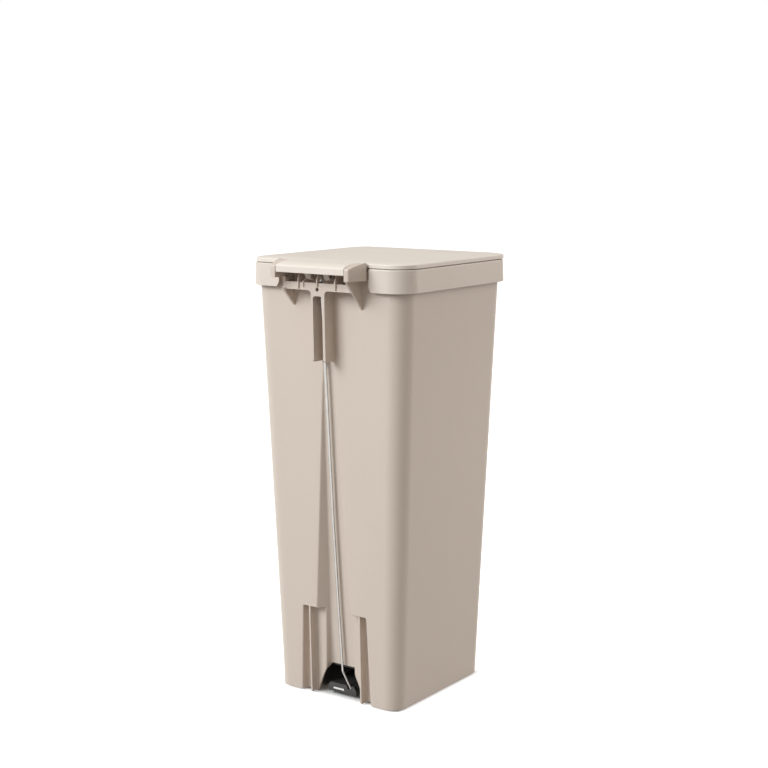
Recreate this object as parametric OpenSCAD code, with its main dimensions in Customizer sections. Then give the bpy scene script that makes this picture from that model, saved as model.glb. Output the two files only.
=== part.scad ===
/* [Bin] */
// Height of the closed bin over the lid
total_h = 680; // [670:1:700]
// Half width of the body, projected to floor level
base_half_x = 113.9; // [110:0.1:118]
// Half depth of the body, projected to floor level
base_half_y = 119.2; // [117:0.1:121]
// How far each side wall leans out per millimetre of height
lean_x = 0.0397; // [0.03:0.0001:0.045]
// How far the front and rear walls lean out per millimetre of height
lean_y = 0.0306; // [0.028:0.0001:0.033]
// Corner radius of the body at floor level
base_corner = 25; // [20:1:30]
// Thickness of the moulded walls
wall = 3; // [2.5:0.1:3.5]
// Height of the bin floor above the ground
floor_z = 50; // [50:0.5:52]

/* [Bag frame] */
// Half width of the bag frame at its lower edge
band_half = 147.2; // [146:0.1:149]
// Corner radius of the bag frame
band_corner = 35.4; // [33:0.1:38]
// Height of the visible band
band_h = 34.2; // [30:0.1:36]
// Half width of the mouth that the bag hangs in
mouth_half = 128; // [120:0.5:129]

/* [Hinge] */
// Half width of the lid's rear tab between the two ears
tab_half = 61; // [58:0.5:61]
// Distance of the hinge axis behind the centre
hinge_y = 169; // [168.5:0.1:169.5]
// Height of the hinge axis
hinge_z = 667; // [666.5:0.1:667.5]
// Radius of each hinge pin
hinge_pin_r = 2; // [1.8:0.1:2.2]

/* [Pedal mechanism] */
// Distance of the pedal pivot from the centre, towards the front
pivot_y = -60; // [-62:1:-58]
// Height of the pedal pivot
pivot_z = 27; // [26:0.5:28]
// Radius of the pedal axle
axle_r = 3; // [2.5:0.1:3.2]
// Radius of the push rod wire
rod_r = 2; // [1.8:0.1:2.1]
// Front edge of the pedal, measured towards the front
pedal_front = 179; // [170:1:181]
// Half width of the pedal
pedal_half = 46; // [40:1:48]

/* [Hidden] */

thin = 0.01;
run_gap = 0.05;
skirt_z = 2;
band_top = 670.6;
band_z = band_top - band_h;
neck_z = band_top - 2.6;
seam = 1.1;
lid_z = band_top + seam;
lid_half = band_half - 1.2;
lid_forward = 1.6;
lid_corner = 34;
lid_skin = 2.5;
bin_floor_top = floor_z + wall;
wall_tilt = atan(lean_y);

// The groove in the rear wall that the push rod runs in
groove_top = 540;
groove_half_top = 8.2;
groove_widen = 0.0625;
groove_deepen = 0.05;
groove_side = 0.625;

// The shallow recess at the foot of the rear wall
recess_top = 141;
recess_depth = 13;

// Where the ears, ribs and webs of the hinge bracket stand
ear_in = tab_half + 0.9;
ear_rear = 181;
ear_low = 653.5;
ear_high = 677.6;
plate_z = [635.8, 647];
plate_y = [156.5, 160];
stem_low = 530;

// The channel under the bin floor that carries the pedal axle, and its screws
carrier_x = [44, 47];
carrier_y = [-96, 92];
carrier_z = [43.5, 46.5];
carrier_low = 12;
carrier_flange = 60;
carrier_screws_at = [[-53.5, -76], [53.5, -76], [-53.5, 66], [53.5, 66]];
screw_r = 1.5;

// The feet
foot_x = 92;
foot_y = 94;
foot_r = 10;
foot_h = 4;
stem_r = 3;

// The push rod: its straight line runs from the lower bend to the upper end
rod_x = 0.5;
rod_top = [151.2, 657];
rod_bend = [101.1, 40];
rod_hook = [100.5, 10.5];
rod_hook_x = -18.5;
eye_y = 153.2;
eye_z = 658.2;
arm_x = [12, 22];
rod_end_x = -25;

function half_x(z) = base_half_x + lean_x * z;
function half_y(z) = base_half_y + lean_y * z;
function corner(z) = base_corner + 0.0068 * z;
function groove_half(z) = groove_half_top + groove_widen * (groove_top - z);
function groove_depth(z) = groove_deepen * (groove_top - z);

// ---------- shapes that repeat ----------

module rounded_square(hx, hy, r) {
    square([2 * hx, 2 * (hy - r)], center = true);
    square([2 * (hx - r), 2 * hy], center = true);
    for (sx = [-1, 1], sy = [-1, 1])
        translate([sx * (hx - r), sy * (hy - r)]) circle(r, $fn = 40);
}

module layer(z, hx, hy, r) {
    translate([0, 0, z]) linear_extrude(thin) rounded_square(hx, hy, r);
}

// A block with the body's taper, drawn in by inset on all sides
module body_taper(z0, z1, inset) {
    hull() {
        layer(z0, half_x(z0) - inset, half_y(z0) - inset, corner(z0) - inset);
        layer(z1 - thin, half_x(z1) - inset, half_y(z1) - inset, corner(z1) - inset);
    }
}

// An outline in Y and Z, extruded between two X values
module side_slab(x0, x1) {
    translate([x0, 0, 0]) rotate([90, 0, 90]) linear_extrude(x1 - x0) children();
}

// An outline in X and Z, extruded between two Y values
module rear_slab(y0, y1) {
    translate([0, y1, 0]) rotate([90, 0, 0]) linear_extrude(y1 - y0) children();
}

// A place on the leaning rear wall: Y is the distance out of the wall
module on_rear_wall() {
    translate([0, base_half_y, 0]) rotate([-wall_tilt, 0, 0]) children();
}

module x_rod(x0, x1, y, z, r) {
    translate([x0, y, z]) rotate([0, 90, 0]) cylinder(h = x1 - x0, r = r, $fn = 40);
}

module z_rod(x, y, z0, z1, r) {
    translate([x, y, z0]) cylinder(h = z1 - z0, r = r, $fn = 40);
}

// A cross section of the rod groove, grown by extra on its inner side
module groove_layer(z, extra) {
    w = groove_half(z) + extra;
    d = groove_depth(z) + extra;
    y = half_y(z);
    translate([0, 0, z]) linear_extrude(thin)
        polygon([
            [-w - 6 * groove_side, y + 6], [w + 6 * groove_side, y + 6],
            [w - d * groove_side, y - d], [-w + d * groove_side, y - d]
        ]);
}

module groove(extra) {
    hull() {
        groove_layer(skirt_z - 2, extra);
        groove_layer(groove_top, extra);
    }
}

module recess(extra) {
    on_rear_wall() rear_slab(-recess_depth - extra, 20)
        polygon([
            [-66 - extra, -2], [66 + extra, -2],
            [60 + extra, recess_top + extra], [-60 - extra, recess_top + extra]
        ]);
}

// ---------- the fixed parts ----------

module body_shell() {
    color([0.83, 0.78, 0.73]) {
        difference() {
            body_taper(skirt_z, neck_z, 0);
            difference() {
                union() {
                    body_taper(bin_floor_top, neck_z + 1, wall);
                    body_taper(skirt_z - 1, floor_z, wall);
                }
                groove(wall);
                recess(wall);
            }
            groove(0);
            recess(0);
            rear_arch();
            rear_slab(-140, -100) translate([-54, 0]) square([108, 46]);
        }
        for (side = [-1, 1])
            recess_rib(side);
        for (sx = [-1, 1], sy = [-1, 1])
            foot_post(sx * foot_x, sy * foot_y);
        for (at = carrier_screws_at)
            screw_boss(at[0], at[1]);
    }
}

module rear_arch() {
    rear_slab(80, 130)
        polygon([[-44, 0], [44, 0], [44, 2], [35, 25], [24.5, 48], [-24.5, 48], [-35, 25], [-44, 2]]);
}

module recess_rib(side) {
    intersection() {
        on_rear_wall() rear_slab(-recess_depth - 1, 0) translate([side * 47.5 - 1.5, 3]) square([3, 140]);
        translate([-80, 90, skirt_z]) cube([160, 60, 140]);
    }
}

module foot_post(x, y) {
    difference() {
        z_rod(x, y, foot_h, floor_z + 1, 9);
        z_rod(x, y, foot_h - 1, foot_h + 9, stem_r);
    }
}

module screw_boss(x, y) {
    difference() {
        z_rod(x, y, carrier_z[1], floor_z + 1, 5);
        z_rod(x, y, carrier_z[1] - 1, floor_z, screw_r);
    }
}

module ear(side) {
    // ear block, from the wall to behind the hinge axis
    low_side = side > 0 ? ear_in : -72;
    side_slab(low_side, low_side + 72 - ear_in) {
        translate([138, ear_low]) square([ear_rear - 138, 667 - ear_low]);
        polygon([
            [147, ear_low], [ear_rear, ear_low], [ear_rear, 671], [177, 673], [172, 674.8], [165, 676.4],
            [156, ear_high], [151, ear_high], [147, 676]
        ]);
    }
    // flared cheek next to the band, lower where the lid passes over it
    translate([0, 0, ear_low]) linear_extrude(667 - ear_low)
        polygon([[side * 71, 138], [side * 80, 138], [side * 80, 148], [side * 71, 148]]);
    translate([0, 0, ear_low]) linear_extrude(672.4 - ear_low)
        polygon([[side * 71, 147], [side * 80, 147], [side * 77, 161], [side * 74, 172], [side * 71, 177]]);
    translate([0, 0, ear_low]) linear_extrude(675.2 - ear_low)
        polygon([[side * 71, 147], [side * 79, 147], [side * 76, 161], [side * 71, 163]]);
}

module hinge_bracket() {
    color([0.83, 0.78, 0.73])
    difference() {
        union() {
            for (side = [-1, 1]) {
                ear(side);
                side_slab(side > 0 ? ear_in : -65.5, side > 0 ? 65.5 : -ear_in)
                    polygon([
                        [137, 610], [138.2, 610], [177, ear_low], [177, ear_low + 1], [137, ear_low + 1]
                    ]);
                side_slab(side * 10.5 - 2, side * 10.5 + 2)
                    polygon([
                        [133, stem_low], [156, stem_low], [157.5, stem_low + 3], [160, 640], [133, 640]
                    ]);
                side_slab(side * 34 - 1, side * 34 + 1)
                    polygon([[137, 637], [160, 637], [160.5, 652], [157.5, 660], [137, 660]]);
            }
            side_slab(-2, 0) polygon([[157, 637], [160.4, 637], [160.4, 652], [158.5, 658], [157, 658]]);
            rear_slab(plate_y[0], plate_y[1]) translate([-ear_in - 1, plate_z[0]])
                square([2 * ear_in + 2, plate_z[1] - plate_z[0]]);
            rear_slab(plate_y[0], plate_y[1]) translate([-12.5, 627]) square([25, 12]);
        }
        body_taper(skirt_z, neck_z + 20, 0);
        for (side = [-1, 1])
            x_rod(side > 0 ? ear_in - 1 : -69.2, side > 0 ? 69.2 : 1 - ear_in, hinge_y, hinge_z, hinge_pin_r);
    }
}

module bag_frame() {
    skirt_in = 2.5;
    color([0.84, 0.79, 0.74])
    difference() {
        hull() {
            layer(band_z, band_half, band_half, band_corner);
            layer(band_top - thin, band_half - 1.3, band_half - 1.3, band_corner - 1.3);
        }
        difference() {
            hull() {
                layer(band_z - 1, band_half - skirt_in, band_half - skirt_in, band_corner - skirt_in);
                layer(neck_z - thin, band_half - 1.3 - skirt_in, band_half - 1.3 - skirt_in, 31.6);
            }
            translate([0, 0, band_z + 4]) linear_extrude(band_h) rounded_square(132.5, 132.5, 24);
        }
        translate([0, 0, band_z - 1]) linear_extrude(band_h + 2) rounded_square(mouth_half, mouth_half, 20);
        // the opening at the rear for the hinge
        rear_slab(140.8, 160)
            polygon([
                [-87, 630], [87, 630], [87, 637], [83, 643], [83, 680], [-83, 680], [-83, 643], [-87, 637]
            ]);
    }
}

module hinge_pin(side) {
    color([0.75, 0.76, 0.78]) x_rod(side > 0 ? 51 : -69, side > 0 ? 69 : -51, hinge_y, hinge_z, hinge_pin_r);
}

module pedal_carrier() {
    color([0.12, 0.12, 0.13])
    difference() {
        union() {
            // roof of the channel, and its two side walls
            translate([-carrier_flange, carrier_y[0], carrier_z[0]])
                cube([2 * carrier_flange, carrier_y[1] - carrier_y[0], carrier_z[1] - carrier_z[0]]);
            for (x = [-carrier_x[1], carrier_x[0]])
                side_slab(x, x + carrier_x[1] - carrier_x[0])
                    polygon([
                        [carrier_y[0], 32], [pivot_y - 16, carrier_low], [pivot_y + 16, carrier_low], [10, 5],
                        [carrier_y[1], 5], [carrier_y[1], carrier_z[1] - 1], [carrier_y[0], carrier_z[1] - 1]
                    ]);
            // bearing bosses on the inside of the walls
            for (x = [-carrier_x[0] - 1, 34])
                x_rod(x, x + 11, pivot_y, pivot_z, 7);
        }
        x_rod(-carrier_x[1] - 1, carrier_x[1] + 1, pivot_y, pivot_z, axle_r + run_gap);
        for (at = carrier_screws_at)
            z_rod(at[0], at[1], carrier_z[0] - 1, carrier_z[1] + 1, screw_r + run_gap);
    }
}

module carrier_screws() {
    color([0.7, 0.71, 0.73])
    for (at = carrier_screws_at) {
        z_rod(at[0], at[1], carrier_z[0] - 0.5, floor_z - 0.5, screw_r - 0.02);
        z_rod(at[0], at[1], carrier_z[0] - 2.4, carrier_z[0], 3);
    }
}

module pedal_axle() {
    color([0.72, 0.73, 0.75]) x_rod(-50.5, 50.5, pivot_y, pivot_z, axle_r);
}

module axle_clips() {
    clip_t = 1.4;
    color([0.6, 0.61, 0.63])
    for (x = [-carrier_x[1] - 0.2 - clip_t, carrier_x[1] + 0.2])
        difference() {
            x_rod(x, x + clip_t, pivot_y, pivot_z, 6);
            x_rod(x - 1, x + 3, pivot_y, pivot_z, axle_r + 0.02);
        }
}

module lever_buffers() {
    color([0.1, 0.1, 0.1])
    for (side = [-1, 1])
        z_rod(side * 22.5, 80, 41.2, carrier_z[0], 4);
}

module foot(sx, sy) {
    color([0.15, 0.15, 0.15]) {
        z_rod(sx * foot_x, sy * foot_y, 0, foot_h, foot_r);
        z_rod(sx * foot_x, sy * foot_y, foot_h, foot_h + 8.5, stem_r - 0.02);
    }
}

// ---------- the lid ----------

// Outline of the rear tab from the side; its hollow is the same outline drawn in by inset
module tab_profile(inset) {
    rear = ear_rear - 0.5 - inset;
    polygon([
        [142, lid_z], [146.5, lid_z], [146.5, 662 - 2 * inset], [rear, 662 - 2 * inset], [rear, 672 - inset],
        [177, 673.8 - inset], [172, 675.6 - inset], [165, 677.2 - inset], [155, 678.3 - inset],
        [142, 678.8 - inset]
    ]);
}

module lid() {
    color([0.9, 0.87, 0.83])
    difference() {
        union() {
            translate([0, -lid_forward, 0])
            difference() {
                hull() {
                    translate([0, 0, lid_z]) linear_extrude(4) rounded_square(lid_half, lid_half, lid_corner);
                    layer(678.4, lid_half - 1.2, lid_half - 1.2, lid_corner - 1.2);
                    layer(total_h - thin, lid_half - 5, lid_half - 5, lid_corner - 5);
                }
                hull() {
                    translate([0, 0, lid_z - 1]) linear_extrude(5)
                        rounded_square(lid_half - lid_skin, lid_half - lid_skin, lid_corner - lid_skin);
                    layer(total_h - lid_skin, lid_half - 6, lid_half - 6, lid_corner - 6);
                }
            }
            difference() {
                side_slab(-tab_half, tab_half) tab_profile(0);
                side_slab(-tab_half + lid_skin, tab_half - lid_skin) tab_profile(lid_skin);
            }
            for (side = [-1, 1])
                x_rod(side > 0 ? 51 : -tab_half, side > 0 ? tab_half : -51, hinge_y, hinge_z, 4.5);
        }
        for (side = [-1, 1])
            x_rod(
                side > 0 ? 50 : -tab_half - 1, side > 0 ? tab_half + 1 : -50,
                hinge_y, hinge_z, hinge_pin_r + run_gap
            );
    }
}

module lid_inner_panel() {
    color([0.86, 0.83, 0.79])
    difference() {
        union() {
            translate([0, 0, lid_z + 0.4]) linear_extrude(2) rounded_square(137, 137, 27);
            translate([0, 0, 662]) linear_extrude(lid_z + 1 - 662) rounded_square(123, 123, 18);
        }
        translate([0, 0, 661]) linear_extrude(lid_z + 0.4 - 661) rounded_square(121, 121, 16);
    }
}

// One of the two lugs; its eye is wide, because the rod's end wanders in it
module arm_lug(x0, x1) {
    difference() {
        side_slab(x0, x1) {
            polygon([[148, 661], [159, 653.5], [164, 666], [165, 673.6], [151, 673.6]]);
            translate([eye_y, eye_z]) circle(7.5, $fn = 48);
        }
        x_rod(x0 - 1, x1 + 1, eye_y, eye_z, 5);
    }
}

module lid_arm() {
    color([0.86, 0.83, 0.79]) {
        arm_lug(arm_x[0], arm_x[1]);
        arm_lug(-arm_x[1], -arm_x[0]);
        side_slab(-arm_x[1], arm_x[1]) translate([151, 672.4]) square([14, 2]);
    }
}

module lid_bumper(side) {
    color([0.5, 0.5, 0.5]) z_rod(side * 118, -133, band_top + 0.3, lid_z + 0.4, 3.5);
}

// ---------- the pedal ----------

module rail_profile() {
    polygon([
        [-128, 22], [pivot_y - 10, 18], [pivot_y + 10, 18], [60, 7], [98, 5], [98, 17],
        [60, 19], [pivot_y + 10, 34], [pivot_y - 10, 35], [-128, 33]
    ]);
}

module pedal_lever() {
    color([0.12, 0.12, 0.13])
    difference() {
        union() {
            for (x = [-25, 20])
                side_slab(x, x + 5) rail_profile();
            // roof between the rails
            side_slab(-22, 22)
                polygon([
                    [-128, 29], [pivot_y - 10, 31], [pivot_y + 10, 30], [60, 15.5], [98, 13.5],
                    [98, 17], [60, 19], [pivot_y + 10, 34], [pivot_y - 10, 35], [-128, 33]
                ]);
            x_rod(-32, 32, pivot_y, pivot_z, 7);
            // platform under the pedal cover
            translate([0, 0, 29]) linear_extrude(4) pedal_outline(1.6);
            // rear plate that holds the push rod's hook
            rear_slab(97, 104) polygon([[-27, 5], [27, 5], [27, 13], [23, 19], [-23, 19], [-27, 13]]);
        }
        x_rod(-33, 33, pivot_y, pivot_z, axle_r + run_gap);
        // bore for the hook, the slot it shows through and the notch it comes in by
        x_rod(rod_hook_x, 23, rod_hook[0], rod_hook[1], rod_r + run_gap);
        translate([-4, rod_hook[0], 8.5]) cube([21, 10, 4]);
        rear_slab(90, 110) polygon([[-23.6, 7.8], [-15.2, 7.8], [-8.4, 21], [-15.2, 21]]);
    }
}

module pedal_outline(inset) {
    translate([0, -(pedal_front + 122) / 2])
        rounded_square(pedal_half - inset, (pedal_front - 122) / 2 - inset, 12 - inset);
}

module pedal_cover() {
    color([0.72, 0.73, 0.75])
    difference() {
        union() {
            translate([0, 0, 23]) linear_extrude(12) pedal_outline(0);
            translate([0, 0, 34]) linear_extrude(2) pedal_outline(1.2);
        }
        translate([0, 0, 22]) linear_extrude(11.05) pedal_outline(1.5);
        translate([-27, -126, 17]) cube([54, 6, 18]);
    }
}

module pedal_grip() {
    color([0.12, 0.12, 0.12]) {
        translate([0, -(pedal_front + 124) / 2, 36.01]) linear_extrude(1.2)
            rounded_square(pedal_half - 8, (pedal_front - 140) / 2, 6);
        for (x = [-30:10:30])
            translate([x - 2, -170, 37]) cube([4, 37, 1]);
    }
}

// ---------- the push rod ----------

module wire(a, b) {
    d = b - a;
    translate(a) rotate([0, acos(d[2] / norm(d)), atan2(d[1], d[0])])
        cylinder(h = norm(d), r = rod_r, $fn = 40);
}

// A bend in the wire, a little fatter than the wire itself
module joint_ball(p) {
    translate(p) sphere(rod_r + 0.4, $fn = 40);
}

module push_rod() {
    low_bend = [rod_x, rod_bend[0], rod_bend[1]];
    high_bend = [rod_x, rod_top[0], rod_top[1]];
    hook_bend = [rod_hook_x, rod_hook[0], rod_hook[1]];
    color([0.82, 0.82, 0.83]) {
        wire(low_bend, high_bend);
        joint_ball(low_bend);
        joint_ball(high_bend);
        wire(low_bend, hook_bend);
        joint_ball(hook_bend);
        x_rod(rod_hook_x, 22, rod_hook[0], rod_hook[1], rod_r);
        x_rod(rod_end_x, rod_x, rod_top[0], rod_top[1], rod_r);
    }
}

module rod_clip() {
    clip_x = -arm_x[1] - 2.2;
    color([0.6, 0.61, 0.63])
    difference() {
        x_rod(clip_x, clip_x + 1.2, rod_top[0], rod_top[1], 4.2);
        x_rod(clip_x - 1, clip_x + 3, rod_top[0], rod_top[1], rod_r + 0.02);
    }
}

body_shell();
hinge_bracket();
bag_frame();
hinge_pin(-1);  // hinge_pin_left
hinge_pin(1);  // hinge_pin_right
pedal_carrier();
carrier_screws();
pedal_axle();
axle_clips();
lever_buffers();
foot(-1, -1);  // foot_front_left
foot(1, -1);  // foot_front_right
foot(-1, 1);  // foot_rear_left
foot(1, 1);  // foot_rear_right
lid();
lid_inner_panel();
lid_arm();
lid_bumper(-1);  // lid_bumper_left
lid_bumper(1);  // lid_bumper_right
pedal_lever();
pedal_cover();
pedal_grip();
push_rod();
rod_clip();
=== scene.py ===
import math

import bmesh
import bpy
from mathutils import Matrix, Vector


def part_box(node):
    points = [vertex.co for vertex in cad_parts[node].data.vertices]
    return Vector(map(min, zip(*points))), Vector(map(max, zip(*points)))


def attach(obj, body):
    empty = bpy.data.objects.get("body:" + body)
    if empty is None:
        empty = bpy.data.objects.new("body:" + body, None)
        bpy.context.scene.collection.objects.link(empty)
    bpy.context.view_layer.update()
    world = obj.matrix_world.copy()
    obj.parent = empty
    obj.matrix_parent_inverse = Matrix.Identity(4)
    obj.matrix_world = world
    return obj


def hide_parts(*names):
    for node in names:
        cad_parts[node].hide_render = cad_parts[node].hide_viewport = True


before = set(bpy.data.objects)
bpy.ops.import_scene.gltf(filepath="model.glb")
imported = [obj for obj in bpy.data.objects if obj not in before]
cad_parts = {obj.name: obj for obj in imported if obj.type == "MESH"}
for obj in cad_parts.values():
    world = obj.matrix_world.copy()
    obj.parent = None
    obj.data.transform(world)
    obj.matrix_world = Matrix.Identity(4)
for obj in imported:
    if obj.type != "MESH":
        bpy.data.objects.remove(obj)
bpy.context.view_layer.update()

# ---------------------------------------------------------------- camera
# The bin is seen from behind, with the hinge and the push rod in view and
# the camera a little above the lid.
camera_lens = bpy.data.cameras.new("camera")
camera_lens.lens = 72.27
camera_lens.sensor_width = 36
camera = bpy.data.objects.new("camera", camera_lens)
camera.location = (-1.3798, 1.9315, 0.8544)
camera.rotation_euler = Vector((0.5724, -0.8048, -0.1569)).to_track_quat("-Z", "Y").to_euler()
bpy.context.scene.collection.objects.link(camera)
bpy.context.scene.camera = camera

# ---------------------------------------------------------------- body shell
# The bin itself: one tall polypropylene moulding with a 3 mm wall, wider at
# the top, with a groove for the push rod down its rear wall and a recess with
# two stiffening ribs at its foot. The pedal works through the arch below.
MM = 0.001
SHARP = math.radians(32)
shell_low, shell_high = (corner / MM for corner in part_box("body_shell"))
neck_z = shell_high.z
skirt_z = shell_low.z
wall = 3.0
lean_x, lean_y = 0.0397, 0.0306
base_half_x = shell_high.x - lean_x * neck_z
base_half_y = shell_high.y - lean_y * neck_z
bin_floor = 50.0
groove_top, groove_half_top = 540.0, 8.2
groove_widen, groove_deepen, groove_side = 0.0625, 0.05, 0.625
recess_top, recess_depth, recess_narrow = 141.0, 13.0, 0.0412
rib_in, rib_out = 46.0, 49.0


def shell_half_x(z):
    return base_half_x + lean_x * z


def shell_half_y(z):
    return base_half_y + lean_y * z


def rounded(points, radii, steps):
    """A closed outline with its corners rounded; each corner gives its steps + 1 points."""
    outline = []
    count = len(points)
    for i, point in enumerate(points):
        here = Vector(point)
        back = Vector(points[i - 1]) - here
        ahead = Vector(points[(i + 1) % count]) - here
        number = steps[i] if isinstance(steps, (list, tuple)) else steps
        radius = radii[i] if isinstance(radii, (list, tuple)) else radii
        turn = math.pi - back.angle(ahead) if back.length > 1e-6 and ahead.length > 1e-6 else 0
        if number == 0 or radius <= 0 or turn < 1e-4:
            outline += [here.copy() for _ in range(number + 1)]
            continue
        reach = min(radius * math.tan(turn / 2), 0.49 * back.length, 0.49 * ahead.length)
        radius = reach / math.tan(turn / 2)
        start = here + back.normalized() * reach
        middle = here + (back.normalized() + ahead.normalized()).normalized() * math.hypot(radius, reach)
        arm = start - middle
        side = 1 if back.x * ahead.y - back.y * ahead.x < 0 else -1
        for k in range(number + 1):
            angle = side * turn * k / number
            cos, sin = math.cos(angle), math.sin(angle)
            outline.append(middle + Vector((arm.x * cos - arm.y * sin, arm.x * sin + arm.y * cos)))
    return outline


def make_piece(name, points, faces):
    """A mesh object from points in millimetres, tidied and with its faces turned outwards."""
    mesh = bpy.data.meshes.new(name)
    mesh.from_pydata([Vector(p) * MM for p in points], [], faces)
    form = bmesh.new()
    form.from_mesh(mesh)
    bmesh.ops.remove_doubles(form, verts=form.verts, dist=2e-6)
    bmesh.ops.dissolve_degenerate(form, edges=form.edges, dist=1e-6)
    bmesh.ops.recalc_face_normals(form, faces=form.faces)
    form.to_mesh(mesh)
    form.free()
    piece = bpy.data.objects.new(name, mesh)
    bpy.context.scene.collection.objects.link(piece)
    return piece


def loft(name, rings, closed=False):
    """A skin through rings of equally many points, capped at both ends or closed on itself."""
    size = len(rings[0])
    points = [p for ring in rings for p in ring]
    faces = []
    pairs = len(rings) if closed else len(rings) - 1
    for r in range(pairs):
        low, high = r * size, (r + 1) % len(rings) * size
        for i in range(size):
            j = (i + 1) % size
            faces.append((low + i, low + j, high + j, high + i))
    if not closed:
        faces.append(tuple(range(size))[::-1])
        faces.append(tuple(range(len(points) - size, len(points))))
    return make_piece(name, points, faces)


def prism(name, outline, low, high, along):
    """A straight block: an outline in the two other directions, from low to high along X, Y or Z."""
    place = {
        "X": lambda p, d: (d, p[0], p[1]),
        "Y": lambda p, d: (p[0], d, p[1]),
        "Z": lambda p, d: (p[0], p[1], d),
    }[along]
    return loft(name, [[place(p, low) for p in outline], [place(p, high) for p in outline]])


def settle(piece):
    """Turns the piece's modifiers into its mesh."""
    depsgraph = bpy.context.evaluated_depsgraph_get()
    shaped = bpy.data.meshes.new_from_object(piece.evaluated_get(depsgraph))
    rough = piece.data
    piece.modifiers.clear()
    piece.data = shaped
    bpy.data.meshes.remove(rough)


def combine(piece, tools, how):
    """Cuts tools out of the piece or joins them to it, and removes the tools."""
    for tool in tools:
        step = piece.modifiers.new("step", "BOOLEAN")
        step.operation = how
        step.solver = "EXACT"
        step.object = tool
        settle(piece)
        leftover = tool.data
        bpy.data.objects.remove(tool)
        bpy.data.meshes.remove(leftover)


def soften(piece, width, segments=3, angle=30):
    """Rounds every edge of the piece that is sharper than the angle."""
    bevel = piece.modifiers.new("bevel", "BEVEL")
    bevel.width = width * MM
    bevel.segments = segments
    bevel.limit_method = "ANGLE"
    bevel.angle_limit = math.radians(angle)
    settle(piece)
    return piece


def shade(piece, angle=SHARP):
    """Smooth shading that breaks at edges sharper than the angle and keeps flat faces flat."""
    for face in piece.data.polygons:
        face.use_smooth = True
    piece.data.set_sharp_from_angle(angle=angle)
    even = piece.modifiers.new("even", "WEIGHTED_NORMAL")
    even.keep_sharp = True
    settle(piece)


def circle(centre, radius, sides=40):
    """A round outline in the two directions of a prism."""
    turns = [math.tau * i / sides for i in range(sides)]
    return [(centre[0] + radius * math.cos(a), centre[1] + radius * math.sin(a)) for a in turns]


def fasten(piece, finish, body, node):
    """Shades and coats the piece, rides it on its body and lets it stand for its CAD node."""
    shade(piece)
    piece.data.materials.clear()
    piece.data.materials.append(finish)
    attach(piece, body)
    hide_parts(node)


def shell_ring(z, inset, recess, rib):
    """One level outline of the shell, drawn in by inset, with the groove and the recess let in."""
    half_x = shell_half_x(z) - inset
    half_y = shell_half_y(z)
    groove = max(0.0, groove_deepen * (groove_top - z)) + inset
    groove_half = groove_half_top + groove_widen * max(0.0, groove_top - z) + 1.18 * inset
    corner = 25 + 0.0068 * z - inset
    rib_at = inset if rib else recess
    recess_edge = groove_half - groove_side * recess - recess_narrow * max(0.0, recess_top - z)
    right = [
        (groove_half - groove_side * groove, groove, 4.0, 5),
        (recess_edge, recess, 3.0, 4),
        (rib_in, recess, 1.5, 3),
        (rib_in, rib_at, 0.8, 2),
        (rib_out, rib_at, 0.8, 2),
        (rib_out, recess, 1.5, 3),
        (60 + 0.0426 * max(0.0, recess_top - z) + inset - 3.0, recess, 3.5, 4),
        (60 + 0.0426 * max(0.0, recess_top - z) + inset, inset, 2.5, 4),
    ]
    corners = [(x, half_y - depth) for x, depth, _, _ in right]
    radii = [radius for _, _, radius, _ in right]
    steps = [number for _, _, _, number in right]
    corners += [(half_x, half_y - inset), (half_x, inset - half_y)]
    radii += [corner, corner]
    steps += [22, 22]
    left = [(-x, y) for x, y in reversed(corners)]
    outline = rounded(corners + left, radii + radii[::-1], steps + steps[::-1])
    return [(p.x, p.y, z) for p in outline]


def ledge(z, shallow, deep):
    """The levels of the step at the top of the recess, from the wall down into the recess."""
    soft = 1.4
    turn = [math.radians(a) for a in (0, 30, 60, 90)]
    above = [(z + soft * (1 - math.sin(a)), shallow + soft * (1 - math.cos(a))) for a in turn]
    below = [(z - soft * (1 - math.cos(a)), deep - soft * (1 - math.sin(a))) for a in turn]
    return above + below


def shell_rings():
    """Rings from the bin floor up inside, over the rim, down outside and up under the floor."""
    rings = []
    for z, inset in ((53, 9), (53.4, 6.5), (54.6, 4.6), (56.4, 3.4), (59, wall)):
        rings.append(shell_ring(z, inset, recess_depth + inset, False))
    for z, recess in reversed(ledge(recess_top + wall, wall, recess_depth + wall)):
        rings.append(shell_ring(z, wall, recess, False))
    for z in (190, 240, 290, 340, 390, 440, 490, groove_top, 600, neck_z - 1):
        rings.append(shell_ring(z, wall, wall, False))
    for z, inset in ((neck_z - 0.3, wall - 0.3), (neck_z, wall - 1), (neck_z, 1), (neck_z - 0.3, 0.3)):
        rings.append(shell_ring(z, inset, inset, False))
    for z in (neck_z - 1, 600, groove_top, 490, 440, 390, 340, 290, 240, 190):
        rings.append(shell_ring(z, 0, 0, False))
    for z, recess in ledge(recess_top, 0, recess_depth):
        rings.append(shell_ring(z, 0, recess, True))
    for z in (110, 80, 50, 25, skirt_z + 1.6):
        rings.append(shell_ring(z, 0, recess_depth, True))
    for z, inset, rib in ((skirt_z + 0.5, 0.45, True), (skirt_z, 1.3, True), (skirt_z, 1.4, False),
                          (skirt_z, wall - 0.6, False), (skirt_z + 0.4, wall, False)):
        rings.append(shell_ring(z, inset, recess_depth + inset, rib))
    for z, inset in ((20, wall), (bin_floor - 3, wall), (bin_floor - 1, wall + 0.6),
                     (bin_floor - 0.3, wall + 1.6), (bin_floor, wall + 4)):
        rings.append(shell_ring(z, inset, recess_depth + inset, False))
    return rings


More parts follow.
